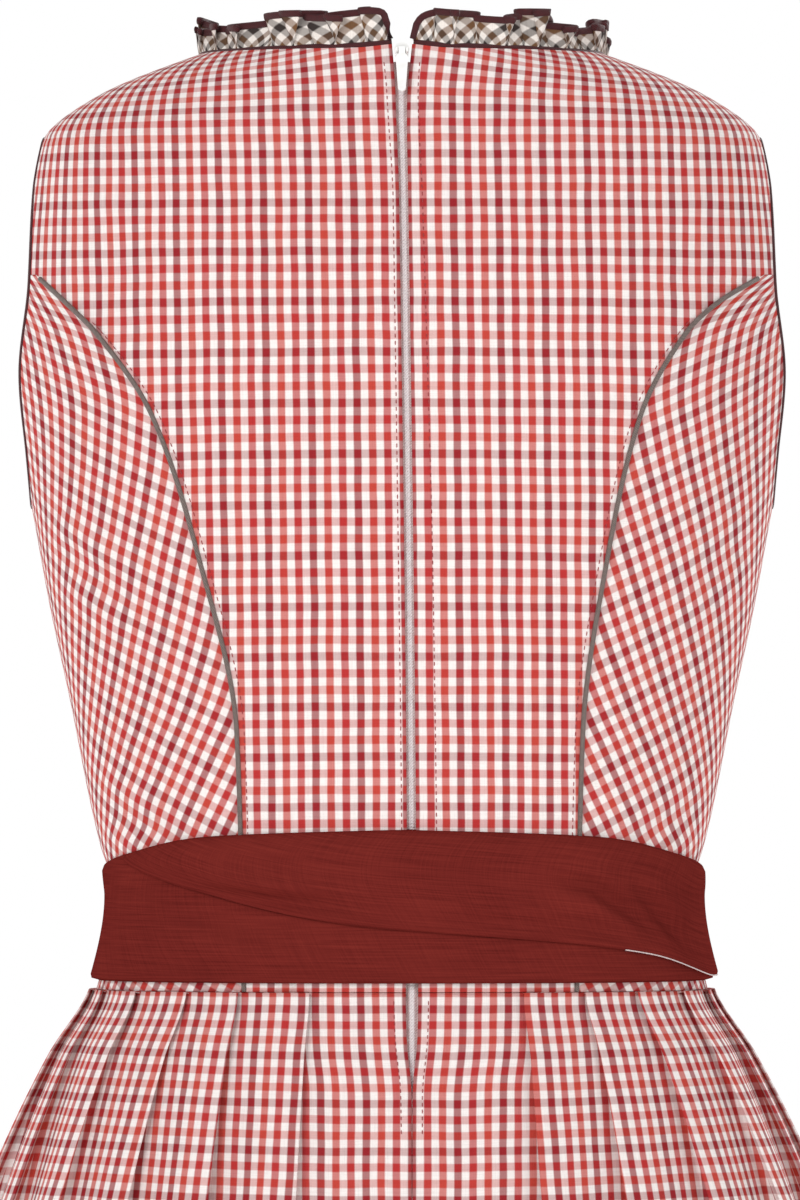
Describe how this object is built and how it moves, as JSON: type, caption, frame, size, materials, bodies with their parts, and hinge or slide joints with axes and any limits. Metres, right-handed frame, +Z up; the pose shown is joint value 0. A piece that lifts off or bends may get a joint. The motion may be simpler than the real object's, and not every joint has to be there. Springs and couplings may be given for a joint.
{
  "type": "dirndl dress",
  "caption": "Sleeveless dirndl dress in red and white gingham: princess-seamed bodice with a ruffled neck, back zip, wound taffeta sash and knife-pleated skirt, in its hollow worn shape.",
  "frame": {"origin": "between the wearer's shoulders at the height where the shoulder seams carry the dress, 380 mm above the waist seam", "axes": "+Z up as worn, the front of the dress faces -Y, the wearer's left is +X"},
  "size_m": [0.6698, 0.5707, 0.9899],
  "materials": {
    "gingham_cloth": "cotton gingham on the straight grain, three reds on white, matt",
    "gingham_bias": "the same cotton gingham cut at a slant to the grain, matt",
    "gingham_skirt": "the same cotton gingham, knife-pleated, matt",
    "ruffle_check": "larger grey, taupe and white cotton check on the bias, matt",
    "burgundy_binding": "narrow dark burgundy satin-weave bias binding",
    "taupe_piping": "taupe corded piping",
    "sash_taffeta": "burgundy shot taffeta with a soft sheen and fine slubs",
    "zip_tape": "woven off-white zip tape",
    "zip_coil": "off-white nylon coil",
    "zip_plastic": "white enamelled slider and pull tab"
  },
  "bodies": {
    "dress": {"zip_slider": "zip_plastic", "back_left": "gingham_cloth", "back_right": "gingham_cloth", "front_centre": "gingham_cloth", "side_back_left": "gingham_bias", "side_back_right": "gingham_bias", "side_front_left": "gingham_bias", "side_front_right": "gingham_bias", "piping_back_left": "taupe_piping", "piping_back_right": "taupe_piping", "piping_front_left": "taupe_piping", "piping_front_right": "taupe_piping", "armhole_binding_left": "burgundy_binding", "armhole_binding_right": "burgundy_binding", "skirt_back_left": "gingham_skirt", "skirt_back_right": "gingham_skirt", "skirt_front_left": "gingham_skirt", "skirt_front_right": "gingham_skirt", "neck_binding": "burgundy_binding", "neck_ruffle": "ruffle_check", "ruffle_edging": "burgundy_binding", "sash_under_turn": "sash_taffeta", "sash_over_turn": "sash_taffeta", "zip_tape_left": "zip_tape", "zip_tape_right": "zip_tape", "zip_coil": "zip_coil"},
    "pull_tab": {"zip_pull_tab": "zip_plastic"}
  },
  "joints": [
    {"name": "tab_hinge", "type": "hinge", "parent": "dress", "child": "pull_tab", "pos_m": [0.0001, 0.07969, 0.02029], "axis": [1, 0, 0], "range_deg": [0, 150]}
  ]
}
